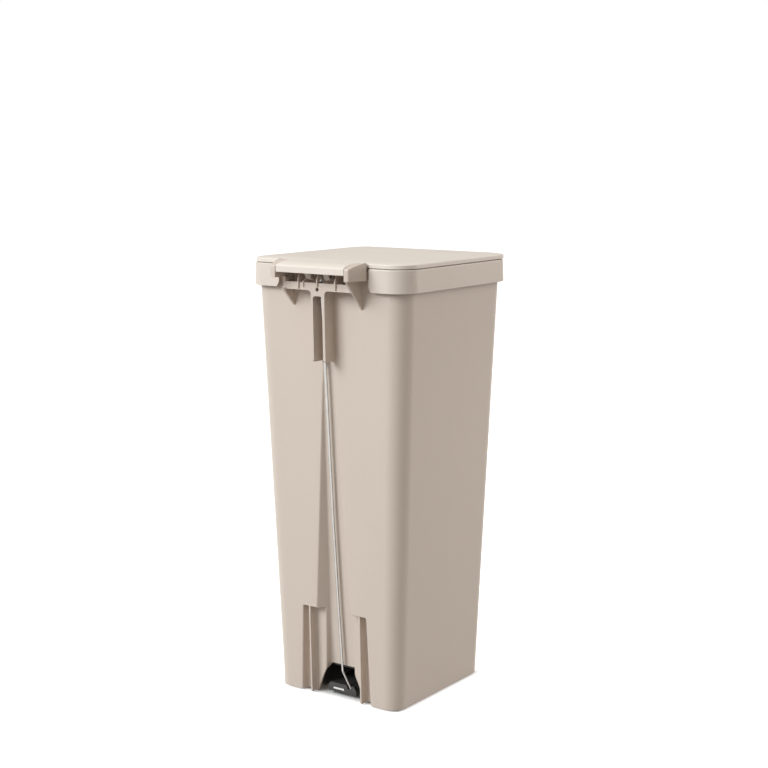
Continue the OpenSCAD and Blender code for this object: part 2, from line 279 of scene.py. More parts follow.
shell = loft("body_shell_visual", shell_rings())
arch_half = [(44, skirt_z - 2), (44, skirt_z), (35, 25), (24.5, 48)]
arch = rounded(arch_half + [(-x, z) for x, z in reversed(arch_half)], [0, 0, 6, 2, 2, 6, 0, 0],
               [0, 0, 4, 3, 3, 4, 0, 0])
pedal_gate = rounded(
    [(-54, skirt_z - 3), (54, skirt_z - 3), (54, 46), (-54, 46)], [0, 0, 9, 9], [0, 0, 6, 6])
combine(shell, [
    prism("arch", arch, 80, 130, "Y"),
    prism("pedal_gate", pedal_gate, -140, -100, "Y"),
], "DIFFERENCE")

foot_at = [(x, y) for x in (-92, 92) for y in (-94, 94)]
screw_at = [(-53.5, -76), (53.5, -76), (-53.5, 66), (53.5, 66)]
foot_top = 4.0
boss_low = 46.5
foot_posts = [prism("foot_post", circle(at, 9), foot_top, bin_floor + 1, "Z") for at in foot_at]
combine(shell, foot_posts, "UNION")
screw_bosses = [prism("screw_boss", circle(at, 5), boss_low, bin_floor + 1, "Z") for at in screw_at]
combine(shell, screw_bosses, "UNION")
foot_sockets = [prism("foot_socket", circle(at, 3), foot_top - 1, foot_top + 9, "Z") for at in foot_at]
combine(shell, foot_sockets, "DIFFERENCE")


class Signal:
    """One output of a material's nodes, which can be used in sums like a number."""

    def __init__(self, finish, socket):
        self.finish = finish
        self.socket = socket

    def maths(self, operation, first, second):
        return self.finish.node("ShaderNodeMath", {"operation": operation}, {0: first, 1: second})

    def __add__(self, other):
        return self.maths("ADD", self, other)

    def __radd__(self, other):
        return self.maths("ADD", other, self)

    def __sub__(self, other):
        return self.maths("SUBTRACT", self, other)

    def __rsub__(self, other):
        return self.maths("SUBTRACT", other, self)

    def __mul__(self, other):
        return self.maths("MULTIPLY", self, other)

    def __rmul__(self, other):
        return self.maths("MULTIPLY", other, self)


class Finish:
    """A surface finish: its material, its shader, and the nodes that vary it."""

    def __init__(self, name, **constants):
        self.material = bpy.data.materials.new(name)
        self.material.use_nodes = True
        self.tree = self.material.node_tree
        self.shader = self.tree.nodes["Principled BSDF"]
        for socket, value in constants.items():
            self.set(self.shader.inputs[socket.replace("_", " ")], value)

    def set(self, socket, value):
        if isinstance(value, Signal):
            self.tree.links.new(value.socket, socket)
        elif socket.type == "RGBA":
            socket.default_value = (*value[:3], 1)
        else:
            socket.default_value = value

    def node(self, kind, settings, sockets, output=0):
        """Adds a node: its settings first, then the values or links of its sockets."""
        node = self.tree.nodes.new(kind)
        for key, value in settings.items():
            setattr(node, key, value)
        for key, value in sockets.items():
            self.set(node.inputs[key], value)
        return Signal(self, node.outputs[output])

    def place(self, *stretch):
        """Where a point of the piece is, in metres; a stretch makes a pattern finer along an axis."""
        spot = self.node("ShaderNodeTexCoord", {}, {}, "Object")
        if not stretch:
            return spot
        return self.node("ShaderNodeVectorMath", {"operation": "MULTIPLY"}, {0: spot, 1: stretch})

    def cloud(self, spot, scale, detail=2.0):
        """A soft random pattern from 0 to 1 with this many patches to the metre."""
        return self.node("ShaderNodeTexNoise", {}, {"Vector": spot, "Scale": scale, "Detail": detail})

    def between(self, share, low, high, start=0.0, end=1.0):
        """A value that goes from low to high as share goes from start to end."""
        return self.node("ShaderNodeMapRange", {"interpolation_type": "SMOOTHSTEP"}, {
            "Value": share, "From Min": start, "From Max": end, "To Min": low, "To Max": high})

    def blend(self, share, first, second):
        """A mix of two colours."""
        return self.node("ShaderNodeMix", {"data_type": "RGBA"}, {0: share, 6: first, 7: second}, 2)

    def relief(self, height, depth):
        """Gives the surface a relief whose height of 0 to 1 is this many metres deep."""
        self.feed("Normal", self.node("ShaderNodeBump", {}, {
            "Height": height, "Distance": depth, "Strength": 1.0}))

    def feed(self, socket, value):
        self.set(self.shader.inputs[socket], value)


def rgb(red, green, blue):
    """A colour given as it looks on a screen, from 0 to 255, as linear light."""
    return tuple(
        c / 255 / 12.92 if c / 255 <= 0.04045 else ((c / 255 + 0.055) / 1.055) ** 2.4
        for c in (red, green, blue))


def moulded(name, colour, deep, roughness, grain, **constants):
    """Satin moulded plastic: a fine eroded grain, faint flow marks and a slightly uneven gloss."""
    finish = Finish(name, **constants)
    flow = finish.cloud(finish.place(1, 1, 0.3), 16, 3)
    mottle = finish.cloud(finish.place(), 210, 3)
    pores = finish.cloud(finish.place(), 1500, 2)
    tone = finish.between(0.6 * flow + 0.4 * mottle, 0, 1, 0.3, 0.7)
    finish.feed("Base Color", finish.blend(tone, deep, colour))
    finish.feed("Roughness", roughness + 0.16 * (flow - 0.5) + 0.12 * (pores - 0.5))
    finish.relief(pores + 0.9 * mottle + 1.5 * flow, grain)
    return finish.material


body_plastic = moulded(
    "satin_beige_plastic", (0.665, 0.575, 0.50), (0.65, 0.56, 0.485), 0.40, 0.00006, IOR=1.49)
fasten(shell, body_plastic, "bin", "body_shell")

# ---------------------------------------------------------------- bag frame
# The wide band round the top: an upside-down channel, moulded in the body's
# plastic, that clips over the bag and the rim. Its rear is open for the hinge.
band_low, band_high = (corner.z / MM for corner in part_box("bag_frame"))
band_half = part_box("bag_frame")[1].x / MM
mouth_half = 128.0


def square_ring(half_x, half_y, corner, z, centre_y=0.0, steps=14):
    """A level ring with rounded corners."""
    ends = [(half_x, half_y), (half_x, -half_y), (-half_x, -half_y), (-half_x, half_y)]
    return [(p.x, p.y + centre_y, z) for p in rounded(ends, corner, steps)]


def band_ring(half, z):
    return square_ring(half, half, 20 + 0.802 * (half - mouth_half), z)


band_profile = [
    (band_half - 0.5, band_low), (band_half - 0.12, band_low + 0.25), (band_half, band_low + 0.8),
    (band_half - 1.2, band_high - 1.9), (band_half - 1.45, band_high - 0.9),
    (band_half - 2.1, band_high - 0.25), (band_half - 3, band_high),
    (mouth_half + 1, band_high), (mouth_half + 0.3, band_high - 0.3), (mouth_half, band_high - 1),
    (mouth_half, band_low + 4.6), (mouth_half + 0.6, band_low + 4),
    (132, band_low + 4), (132.5, band_low + 4.5), (132.5, band_high - 3.4), (133.2, band_high - 2.6),
    (142.6, band_high - 2.6), (143.3, band_high - 3.3), (144.7, band_low + 0.6), (145.1, band_low),
]
band = loft("bag_frame_visual", [band_ring(half, z) for half, z in band_profile], closed=True)
hinge_gap = rounded(
    [(-87, 630), (87, 630), (87, 637), (83, 643), (83, 680), (-83, 680), (-83, 643), (-87, 637)],
    [0, 0, 2, 4, 0, 0, 4, 2], [0, 0, 3, 4, 0, 0, 4, 3])
combine(band, [prism("hinge_gap", hinge_gap, 140.8, 160, "Y")], "DIFFERENCE")
band_plastic = moulded(
    "satin_band_plastic", (0.74, 0.662, 0.59), (0.725, 0.647, 0.576), 0.36, 0.00005, IOR=1.49)
fasten(band, band_plastic, "bin", "bag_frame")

# ---------------------------------------------------------------- hinge bracket
# The bracket behind the neck, moulded with the body: two flared ears that
# hold the hinge pins, gussets below them, and a ribbed plate and stem.
ear_front, ear_rear = 147.0, 181.0
ear_low, ear_top, ear_fall = 653.5, 677.5, 5.5
ear_length = ear_rear - ear_front
plate_low, plate_high = 635.8, 647.0
plate_front, plate_rear = 156.5, 160.0
stem_low, stem_lean, slot_half = 530.0, 0.0236, 8.5
hinge_y, hinge_z = 169.0, 667.0
lid_swing = 24.6


def wall_y(z):
    """Just inside the rear wall, so that what is moulded onto the wall is rooted in it."""
    return shell_half_y(z) - 0.6


def stem_rear(z):
    """The rear of the plate and the stem, which leans towards the wall below the plate."""
    return plate_rear - stem_lean * max(0.0, plate_low - z)


def crown(y):
    """Height of the top of an ear, which falls away towards the rear."""
    return ear_top - ear_fall * (max(0.0, y - ear_front) / ear_length) ** 2.6


def ear_section(x, rear, inset):
    """An ear's outline from the side at x from the middle, kept clear of the lid as it swings up."""
    rear -= inset
    low = ear_low + inset
    soft = min(2.5 if x < 72 else 4.5, 0.6 * (rear - ear_front))
    turns = [math.radians(a) for a in (0, 18, 36, 54, 72, 90)]
    top = [(rear - soft * (1 - math.cos(a)), soft * (1 - math.sin(a))) for a in turns]
    flat = rear - soft - ear_front
    top += [(rear - soft - flat * share, 0) for share in (0.25, 0.5, 0.75, 0.9, 0.96, 1)]
    outline = [(x, ear_front, low), (x, rear - 0.3, low), (x, rear, low + 0.3)]
    for y, drop in top:
        share = (y - ear_front) / ear_length
        tilt = (x - 62) * (0.12 * (1 - share) - 0.14 * share)
        swing = hinge_z + math.sqrt(max(0.0, lid_swing ** 2 - (hinge_y - y) ** 2))
        outline.append((x, y, min(crown(y) + tilt, swing) - drop - inset))
    return outline


def mirrored(points):
    """The same points on the -X side."""
    return [(-p[0], *p[1:]) for p in points]


ear_flare = [(66, ear_rear), (70.8, 180.5), (72, 179.6), (72.9, 177.6), (73.7, 174.8), (74.9, 171),
             (76.2, 166.5), (77.4, 161), (78.5, 156), (79.3, 152), (80, 147.5)]
ear_in = {1: 61.9, -1: 64.2}
stem_out = {1: 12.0, -1: 13.0}
gusset_at = {1: (59.0, 62.6), -1: (62.9, 66.5)}
gusset_rear = {1: [(164.5, 636.4), (160.2, 638), (160.2, 653.9)], -1: [(177.2, 653.2), (177.2, 653.9)]}
bracket_parts = []
for side in (1, -1):
    flip = list if side > 0 else mirrored
    inner = ear_in[side]
    edge = ((0, 0.5), (0.15, 0.2), (0.5, 0))
    sections = [ear_section(inner + step, ear_rear, inset) for step, inset in edge]
    sections += [ear_section(x, rear, 0) for x, rear in ear_flare]
    bracket_parts.append(loft("ear", [flip(section) for section in sections]))
    near, far = sorted((side * (inner + 0.01), side * 79.2))
    neck = [(wall_y(654), 654.2), (150, 654.2), (150, 666.5), (wall_y(667), 666.5)]
    bracket_parts.append(soften(prism("ear_neck", neck, near, far, "X"), 0.5))
    near, far = sorted(side * x for x in gusset_at[side])
    gusset = [(wall_y(610), 609.6), (shell_half_y(610) + 0.9, 610), *gusset_rear[side],
              (wall_y(654), 653.9)]
    bracket_parts.append(soften(prism("gusset", gusset, near, far, "X"), 0.3))
    near, far = sorted((side * slot_half, side * stem_out[side]))
    rib = [(wall_y(stem_low), stem_low), (155.6, stem_low), (stem_rear(stem_low + 2.4), stem_low + 2.4),
           (stem_rear(640), 640), (wall_y(640), 640)]
    bracket_parts.append(soften(prism("stem_rib", rib, near, far, "X"), 0.5))
    web = [(wall_y(637), 637), (159.6, 636.6), (162.4, 639), (162.4, 652), (157.4, 661), (wall_y(661), 661)]
    bracket_parts.append(soften(prism("web", web, side * 34 - 1.1, side * 34 + 1.1, "X"), 0.4))

plate_left, plate_right = -ear_in[-1] - 1, ear_in[1] + 1
tee = rounded(
    [(plate_left, plate_low), (-stem_out[-1], plate_low), (-stem_out[-1], stem_low + 3),
     (-slot_half, stem_low + 3), (-slot_half, 627.5), (slot_half, 627.5), (slot_half, stem_low + 3),
     (stem_out[1], stem_low + 3), (stem_out[1], plate_low), (plate_right, plate_low),
     (plate_right, plate_high), (plate_left, plate_high)],
    [0, 5.8, 0, 0, 4, 4, 0, 0, 5.8, 0, 0.8, 0.8], [0, 8, 0, 0, 7, 7, 0, 0, 8, 0, 2, 2])
bracket = loft("hinge_bracket_visual", [
    [(p.x, plate_front - stem_rear(plate_low) + stem_rear(p.y), p.y) for p in tee],
    [(p.x, stem_rear(p.y) - 0.4, p.y) for p in tee],
    [(p.x * 0.9975, stem_rear(p.y) - 0.08, p.y) for p in tee],
    [(p.x * 0.994, stem_rear(p.y), p.y) for p in tee],
])
middle_web = [(157, 641), (159.6, 641), (162.4, 643), (162.4, 653), (158.4, 660), (148, 662),
              (148, 655), (157, 650)]
short_rib = [(wall_y(645), 640), (159.6, 639), (161.8, 641), (161.8, 648), (150, 655),
             (wall_y(653), 655)]
shelf = [(wall_y(645), 641.8), (157, 641.8), (157, 643.8), (wall_y(645), 643.8)]
bracket_parts += [
    soften(prism("middle_web", middle_web, -2.1, 0.1, "X"), 0.3),
    soften(prism("short_rib", short_rib, 24.2, 26, "X"), 0.3),
    soften(prism("shelf", shelf, -61, -34, "X"), 0.3),
    soften(prism("shelf", shelf, 34, 61, "X"), 0.3),
]
combine(bracket, bracket_parts, "UNION")
pin_bores = [prism("pin_bore", circle((hinge_y, hinge_z), 2.02), low, high, "X")
             for low, high in ((60.9, 69.2), (-69.2, -60.9))]
plate_hole = prism("plate_hole", circle((0.2, 637.4), 3.1), 150, 165, "Y")
combine(bracket, pin_bores + [plate_hole], "DIFFERENCE")
fasten(bracket, body_plastic, "bin", "hinge_bracket")

# ---------------------------------------------------------------- hinge pins
# Two short pins of drawn steel with chamfered ends. They are pressed into the
# ears, and the bosses of the lid's tab turn on them.


def turned(name, profile, centre, along, sides=40, closed=False):
    """A round piece: (radius, distance) pairs spun about the line through centre, along X or Z."""
    rings = []
    for radius, reach in profile:
        ring = circle((0, 0), max(radius, 1e-5), sides)
        if along == "X":
            rings.append([(centre[0] + reach, centre[1] + a, centre[2] + b) for a, b in ring])
        else:
            rings.append([(centre[0] + a, centre[1] + b, centre[2] + reach) for a, b in ring])
    return loft(name, rings, closed)


def brushed(name, colour, roughness, lay, **constants):
    """Plain steel with fine lines along its length; lay is how fine they are along X, Y and Z."""
    finish = Finish(name, Metallic=1.0, **constants)
    lines = finish.cloud(finish.place(*lay), 1, 3)
    stain = finish.cloud(finish.place(), 45, 3)
    shadow = tuple(0.82 * c for c in colour)
    tone = finish.between(0.5 * lines + 0.5 * stain, 0, 1, 0.3, 0.7)
    finish.feed("Base Color", finish.blend(tone, shadow, colour))
    finish.feed("Roughness", roughness + 0.22 * (lines - 0.5) + 0.1 * (stain - 0.5))
    finish.relief(lines, 0.00002)
    return finish.material


pin_steel = brushed("bright_pin_steel", rgb(205, 206, 208), 0.3, (60, 1800, 1800))
pin_profile = [(0, 51), (1.5, 51), (2, 51.6), (2, 68.4), (1.5, 69), (0, 69)]
for side, node in ((-1, "hinge_pin_left"), (1, "hinge_pin_right")):
    profile = [(radius, side * reach) for radius, reach in pin_profile]
    pin = turned(node + "_visual", profile, (0, hinge_y, hinge_z), "X")
    fasten(pin, pin_steel, "bin", node)

# ---------------------------------------------------------------- lid
# One smooth polypropylene moulding: a slightly crowned skin with a crisp edge, and
# a hollow tab behind it that fills the space between the ears and takes the pins.
lid_half, lid_middle = 146.0, -1.6
lid_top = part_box("lid")[1].z / MM
lid_low = lid_top - 8.5
tab_right, tab_left = 61.0, -63.3
tab_rear = 180.5


def lid_ring(half, z):
    return square_ring(half, half, max(half - 112, 0.12 * half), z, lid_middle)


lid_profile = [
    (40, lid_top - 2.5), (128, lid_top - 2.9), (137.5, lid_top - 3.4), (141.6, lid_top - 4.7),
    (143.5, lid_top - 6.6), (143.5, lid_low + 0.3), (144, lid_low), (145.3, lid_low),
    (145.8, lid_low + 0.2), (lid_half, lid_low + 0.8), (lid_half, lid_top - 3.6),
    (lid_half - 0.25, lid_top - 3.0),
    (lid_half - 0.9, lid_top - 2.5), (lid_half - 2, lid_top - 2.1), (lid_half - 5, lid_top - 1.5),
    (lid_half - 9, lid_top - 1.0), (lid_half - 15, lid_top - 0.55), (lid_half - 23, lid_top - 0.25),
    (lid_half - 34, lid_top - 0.07), (lid_half - 50, lid_top - 0.01), (40, lid_top),
]
lid = loft("lid_visual", [lid_ring(half, z) for half, z in lid_profile])
tab_spine = [(tab_rear, 671.2), (178.5, 673), (174, 674.8), (166, 676.6), (157, 677.6), (147, 677.9),
             (141, 678.3), (133, 678.4)]
tab_skin = rounded(
    [(133, 673), (146.2, 673), (147, 662), (tab_rear, 662)] + tab_spine,
    [0, 1, 0.8, 0.6, 1.2, 1.6, 2, 2, 2, 2, 1, 0], [0, 3, 3, 3, 3, 3, 2, 2, 2, 2, 2, 0])
combine(lid, [soften(prism("tab", tab_skin, tab_left, tab_right, "X"), 0.6)], "UNION")
tab_hollow = rounded(
    [(149.4, 655), (178, 655), (178, 670.6), (173.5, 672.9), (165, 674.7), (155, 675.8), (143.6, 676.2),
     (143.6, 674.6), (149.4, 674.6)],
    [0, 0, 1, 2, 2, 2, 0.5, 0.5, 1], [0, 0, 3, 2, 2, 2, 2, 2, 2])
combine(lid, [prism("tab_hollow", tab_hollow, tab_left + 2.3, tab_right - 2.3, "X")], "DIFFERENCE")
for near, far in ((51, tab_right - 1), (tab_left + 1, -51)):
    combine(lid, [soften(prism("boss", circle((hinge_y, hinge_z), 4.5), near, far, "X"), 0.4)], "UNION")
    stay = [(169.8, 668), (168.2, 668), (168.2, 674.9), (169.8, 674.9)]
    combine(lid, [prism("boss_stay", stay, near + 0.7, far - 0.7, "X")], "UNION")
    combine(lid, [prism("bore", circle((hinge_y, hinge_z), 2.06), near - 1, far + 2, "X")], "DIFFERENCE")
# The lid's colour is paler than the band's. This is partly the lid's own tone and partly painted light,
# which brightens its top as if it were lit more strongly from above.
lid_plastic_with_painted_top_light = moulded(
    "smooth_lid_plastic_lifted_for_top_light", (0.82, 0.75, 0.683), (0.81, 0.74, 0.673), 0.33, 0.00003, IOR=1.5)
fasten(lid, lid_plastic_with_painted_top_light, "lid", "lid")

# ---------------------------------------------------------------- lid inner panel
# A thinner polypropylene panel that stiffens the lid. It is welded under the
# lid, and its rim drops into the mouth.
panel_top, panel_low, rim_low = 674.1, 672.1, 662.0
panel_profile = [
    (20, panel_top), (136.2, panel_top), (136.8, panel_top - 0.2), (137, panel_top - 0.7),
    (137, panel_low + 0.6), (136.4, panel_low), (124.2, panel_low), (123.3, panel_low - 0.4),
    (123, panel_low - 1.2),
    (123, rim_low + 0.7), (122.6, rim_low), (121.4, rim_low), (121, rim_low + 0.7), (121, panel_low - 1.2),
    (120.4, panel_low), (112, panel_low), (110.4, panel_low + 0.8), (60, panel_low + 0.8),
    (58.6, panel_low + 0.1), (20, panel_low + 0.1),
]
panel = loft("lid_inner_panel_visual", [
    square_ring(half, half, max(16 + 0.69 * (half - 121), 5), z) for half, z in panel_profile])
inner_plastic = moulded(
    "matt_inner_plastic", (0.70, 0.625, 0.56), (0.68, 0.605, 0.54), 0.5, 0.00006, IOR=1.49)
fasten(panel, inner_plastic, "lid", "lid_inner_panel")

# ---------------------------------------------------------------- lid arm
# Two lugs on a bar, moulded in one piece and welded under the tab. The rod's
# upper end passes through the eye of one of them.
eye_y, eye_z = 153.2, 658.2
eye_arc = [math.radians(a) for a in range(170, 341, 10)]
lug = [(eye_y + 7.5 * math.cos(a), eye_z + 7.5 * math.sin(a)) for a in eye_arc]
lug += [(166, 667.5), (168, 673.6), (150.4, 675.4), (146.4, 663.5)]
bar = [(151, 673.2), (165, 672.6), (165, 674.9), (151, 676.2)]
arm = soften(prism("lid_arm_visual", bar, -22, 22, "X"), 0.3)
for near, far in ((12, 22), (-22, -12)):
    combine(arm, [soften(prism("lug", lug, near, far, "X"), 0.6)], "UNION")
    combine(arm, [prism("eye", circle((eye_y, eye_z), 5), near - 1, far + 1, "X")], "DIFFERENCE")
fasten(arm, inner_plastic, "lid", "lid_arm")

# ---------------------------------------------------------------- lid bumpers
# Two soft rubber pads near the front corners, glued under the lid. The closed
# lid rests on them.


def rubbery(name, colour, roughness):
    """Matt rubber with a dusty bloom and a fine pebbled skin."""
    finish = Finish(name, IOR=1.5)
    bloom = finish.cloud(finish.place(), 120, 4)
    pebble = finish.cloud(finish.place(), 1900, 2)
    pale = tuple(1.5 * c + 0.004 for c in colour)
    finish.feed("Base Color", finish.blend(finish.between(bloom, 0, 1, 0.35, 0.7), colour, pale))
    finish.feed("Roughness", roughness + 0.15 * (bloom - 0.5))
    finish.relief(pebble + bloom, 0.00008)
    return finish.material


bumper_rubber = rubbery("grey_bumper_rubber", rgb(140, 138, 134), 0.6)
pad_profile = [(0, 670.9), (2.2, 670.9), (3.2, 671.15), (3.5, 671.5), (3.5, 671.9), (3.3, 672.1),
               (0, 672.1)]
for side, node in ((-1, "lid_bumper_left"), (1, "lid_bumper_right")):
    pad = turned(node + "_visual", pad_profile, (side * 118, -133, 0), "Z")
    fasten(pad, bumper_rubber, "lid", node)

# ---------------------------------------------------------------- push rod
# A 4 mm bright steel wire, bent cold: hooked into the lever at its foot, with a
# slight bow up the groove, and turned sideways through the eye of the lid arm.


def swept(name, corners, bends, radius, sides=20):
    """A wire of round section along a path, with each corner bent to its own radius."""
    spine = []
    for i, corner in enumerate(corners):
        here = Vector(corner)
        if i in (0, len(corners) - 1):
            spine.append(here)
            continue
        back = (Vector(corners[i - 1]) - here).normalized()
        ahead = (Vector(corners[i + 1]) - here).normalized()
        bend = bends[i - 1]
        turn = math.pi - back.angle(ahead)
        reach = bend * math.tan(turn / 2)
        middle = here + (back + ahead).normalized() * math.hypot(bend, reach)
        start, end = here + back * reach - middle, here + ahead * reach - middle
        count = max(3, round(math.degrees(turn) / 9))
        for k in range(count + 1):
            share = k / count
            arm = start * math.sin((1 - share) * turn) + end * math.sin(share * turn)
            spine.append(middle + arm / math.sin(turn))
    rings = []
    across = (spine[1] - spine[0]).orthogonal().normalized()
    for i, point in enumerate(spine):
        along = (spine[min(i + 1, len(spine) - 1)] - spine[max(i - 1, 0)]).normalized()
        across = (across - along * across.dot(along)).normalized()
        other = along.cross(across)
        ring = [(across * math.cos(a) + other * math.sin(a))
                for a in (math.tau * k / sides for k in range(sides))]
        if i == 0:
            rings.append([point + spoke * (radius - 0.5) for spoke in ring])
            point = point + along * 0.5
        if i == len(spine) - 1:
            rings.append([point - along * 0.5 + spoke * radius for spoke in ring])
            rings.append([point + spoke * (radius - 0.5) for spoke in ring])
        else:
            rings.append([point + spoke * radius for spoke in ring])
    return loft(name, rings)


rod_path = [(22, 100.5, 10.5), (-17.4, 100.5, 10.5), (0.3, 101.1, 40), (1.8, 110.0, 150), (2.4, 121.0, 285),
            (1.5, 132.8, 430), (-0.2, 151.2, 657), (-25, 151.2, 657)]
rod = swept("push_rod_visual", rod_path, (3.0, 6.0, 60.0, 60.0, 60.0, 5.0), 2.0)
rod_steel = brushed("bright_wire_steel", rgb(176, 174, 171), 0.2, (1400, 1400, 30))
fasten(rod, rod_steel, "rod", "push_rod")

# ---------------------------------------------------------------- rod clip
# A push-on washer of spring steel that grips the rod's upper end and keeps it
# in the eye.
clip_x = -24.2
clip_profile = [(2.02, 0), (3.7, 0), (4.2, 0.3), (4.2, 0.9), (3.7, 1.2), (2.02, 1.2)]
clip = turned("rod_clip_visual", clip_profile, (clip_x, 151.2, 657), "X", closed=True)
fasten(clip, pin_steel, "rod", "rod_clip")

# ---------------------------------------------------------------- pedal lever
# A black glass-filled moulding: two rails under a roof, the axle's tube, the
# platform of the pedal, and a rear plate with a window onto the rod's hook.
axle_y, axle_z = -60.0, 27.0
rail = [(-128, 22), (axle_y - 10, 18), (axle_y + 10, 18), (60, 7), (98, 5), (98, 17), (60, 19),
        (axle_y + 10, 34), (axle_y - 10, 35), (-128, 33)]
roof = [(-128, 29), (axle_y - 10, 31), (axle_y + 10, 30), (60, 15.5), (98, 13.5), (98, 17), (60, 19),
        (axle_y + 10, 34), (axle_y - 10, 35), (-128, 33)]
rear_plate = rounded([(-27, 5), (27, 5), (27, 13), (23, 19), (-23, 19), (-27, 13)], 1.2, 3)
pedal_front, pedal_rear, pedal_half = 179.0, 122.0, 46.0
pedal_middle = -(pedal_front + pedal_rear) / 2
pedal_reach = (pedal_front - pedal_rear) / 2


def pedal_ring(inset, z):
    return square_ring(pedal_half - inset, pedal_reach - inset, 12 - inset, z, pedal_middle, 8)


lever = soften(prism("pedal_lever_visual", rear_plate, 97, 104, "Y"), 0.6)
combine(lever, [
    soften(prism("rail", rounded(rail, 1, 2), -25, -20, "X"), 0.5),
    soften(prism("rail", rounded(rail, 1, 2), 20, 25, "X"), 0.5),
    prism("roof", roof, -22, 22, "X"),
    prism("axle_tube", circle((axle_y, axle_z), 7), -32, 32, "X"),
    loft("platform", [pedal_ring(1.6, 29), pedal_ring(1.6, 33)]),
    soften(prism("cross_rib", [(20, 19), (21.8, 19), (21.8, 27), (20, 28)], -21, 21, "X"), 0.2),
], "UNION")
notch = [(-17.4, 13.4), (-11.4, 13.4), (-8.2, 21), (-16.6, 21)]
hook_pocket = [(-20, 8), (-12, 8), (-9, 15), (-16, 15)]
window = rounded([(-4, 8.9), (17, 8.9), (17, 12.2), (-4, 12.2)], 1.2, 4)
combine(lever, [
    prism("axle_bore", circle((axle_y, axle_z), 3.05), -33, 33, "X"),
    prism("hook_bore", circle((100.5, 10.5), 2.05), -19.2, 23, "X"),
    prism("hook_pocket", hook_pocket, 98.2, 103.2, "Y"),
    prism("window", window, 100.5, 110, "Y"),
    prism("notch", rounded(notch, [1, 1, 0, 0], [3, 3, 0, 0]), 90, 110, "Y"),
], "DIFFERENCE")
black_plastic = moulded("black_lever_plastic", rgb(54, 52, 51), rgb(46, 44, 43), 0.42, 0.00008, IOR=1.5)
fasten(lever, black_plastic, "lever", "pedal_lever")

# ---------------------------------------------------------------- hook highlight
# A white insert in the lever's window: a painted highlight that stands in for
# the bright glint of the rod's hook seen through the window.
highlight_insert_face = rounded([(-3.9, 9), (16.9, 9), (16.9, 12.1), (-3.9, 12.1)], 1.1, 4)
highlight_insert = soften(prism("hook_painted_highlight", highlight_insert_face, 102.6, 103.8, "Y"), 0.3)
# The insert's white is a painted highlight on the rod's hook.
white_painted_highlight = moulded("white_painted_highlight", (0.93, 0.925, 0.91), (0.90, 0.895, 0.88), 0.35, 0.00003, IOR=1.53)
shade(highlight_insert)
highlight_insert.data.materials.append(white_painted_highlight)
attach(highlight_insert, "lever")

# ---------------------------------------------------------------- pedal cover
# A cap of pressed stainless steel, brushed from side to side. It is clipped over
# the lever's platform.
cover_steps = [(1.5, 33.05), (1.5, 23.4), (1.2, 23), (0.3, 23), (0, 23.4), (0, 32.6), (0.15, 33.8),
               (0.6, 34.9), (1.4, 35.7), (2.6, 36)]
cover = loft("pedal_cover_visual", [pedal_ring(inset, z) for inset, z in cover_steps])
lever_way = [(-27, 17), (27, 17), (27, 35), (-27, 35)]
combine(cover, [prism("lever_way", lever_way, -126, -118, "Y")], "DIFFERENCE")
pedal_steel = brushed("brushed_pedal_steel", rgb(200, 200, 201), 0.34, (30, 1700, 1700))
fasten(cover, pedal_steel, "lever", "pedal_cover")

# ---------------------------------------------------------------- pedal grip
# A moulded rubber mat with ribs that stop a shoe from slipping. It is glued onto
# the cap.
grip_middle = -(pedal_front + 124) / 2
grip_steps = [(0.2, 36.01), (0, 36.3), (0, 36.8), (0.3, 37.1), (0.8, 37.2)]
grip = loft("pedal_grip_visual", [
    square_ring(pedal_half - 8 - inset, 19.5 - inset, 6 - inset, z, grip_middle, 6)
    for inset, z in grip_steps])
ribs = []
for x in range(-30, 31, 10):
    section = rounded(
        [(x - 2, 36.6), (x + 2, 36.6), (x + 1.5, 38), (x - 1.5, 38)], [0, 0, 0.7, 0.7], [0, 0, 3, 3])
    ribs.append(soften(prism("rib", section, -170, -133, "Y"), 0.3))
combine(grip, ribs, "UNION")
black_rubber = rubbery("black_rubber", rgb(38, 37, 36), 0.68)
fasten(grip, black_rubber, "lever", "pedal_grip")

# ---------------------------------------------------------------- pedal carrier
# The black channel screwed under the bin floor. Its walls carry the axle, and
# its flanges take the four screws.
wall_in, wall_out = 44.0, 47.0
roof_low, roof_high = 43.5, 46.5
carrier_front, carrier_rear = -96.0, 92.0
side_wall = rounded(
    [(carrier_front, 32), (axle_y - 16, 12), (axle_y + 16, 12), (10, 5), (carrier_rear, 5),
     (carrier_rear, 45.5), (carrier_front, 45.5)], [2, 5, 5, 5, 3, 0.5, 0.5], [3, 5, 5, 5, 4, 1, 1])
flange = rounded(
    [(-60, carrier_front), (60, carrier_front), (60, carrier_rear), (-60, carrier_rear)], 4, 5)
carrier = soften(prism("pedal_carrier_visual", flange, roof_low, roof_high, "Z"), 0.5)
carrier_parts = []
for low in (-wall_out, wall_in):
    carrier_parts.append(soften(prism("side_wall", side_wall, low, low + wall_out - wall_in, "X"), 0.5))
for low in (-45, 34):
    carrier_parts.append(soften(prism("bearing", circle((axle_y, axle_z), 7), low, low + 11, "X"), 0.5))
for y in (-94, 60):
    bar = [(y, 40), (y + 2, 40), (y + 2, 45), (y, 45)]
    carrier_parts.append(soften(prism("crossbar", bar, -wall_in - 0.5, wall_in + 0.5, "X"), 0.3))
combine(carrier, carrier_parts, "UNION")
axle_way = prism("axle_way", circle((axle_y, axle_z), 3.05), -48, 48, "X")
screw_ways = [prism("screw_way", circle(at, 1.6), roof_low - 1, roof_high + 1, "Z") for at in screw_at]
combine(carrier, [axle_way] + screw_ways, "DIFFERENCE")
fasten(carrier, black_plastic, "bin", "pedal_carrier")

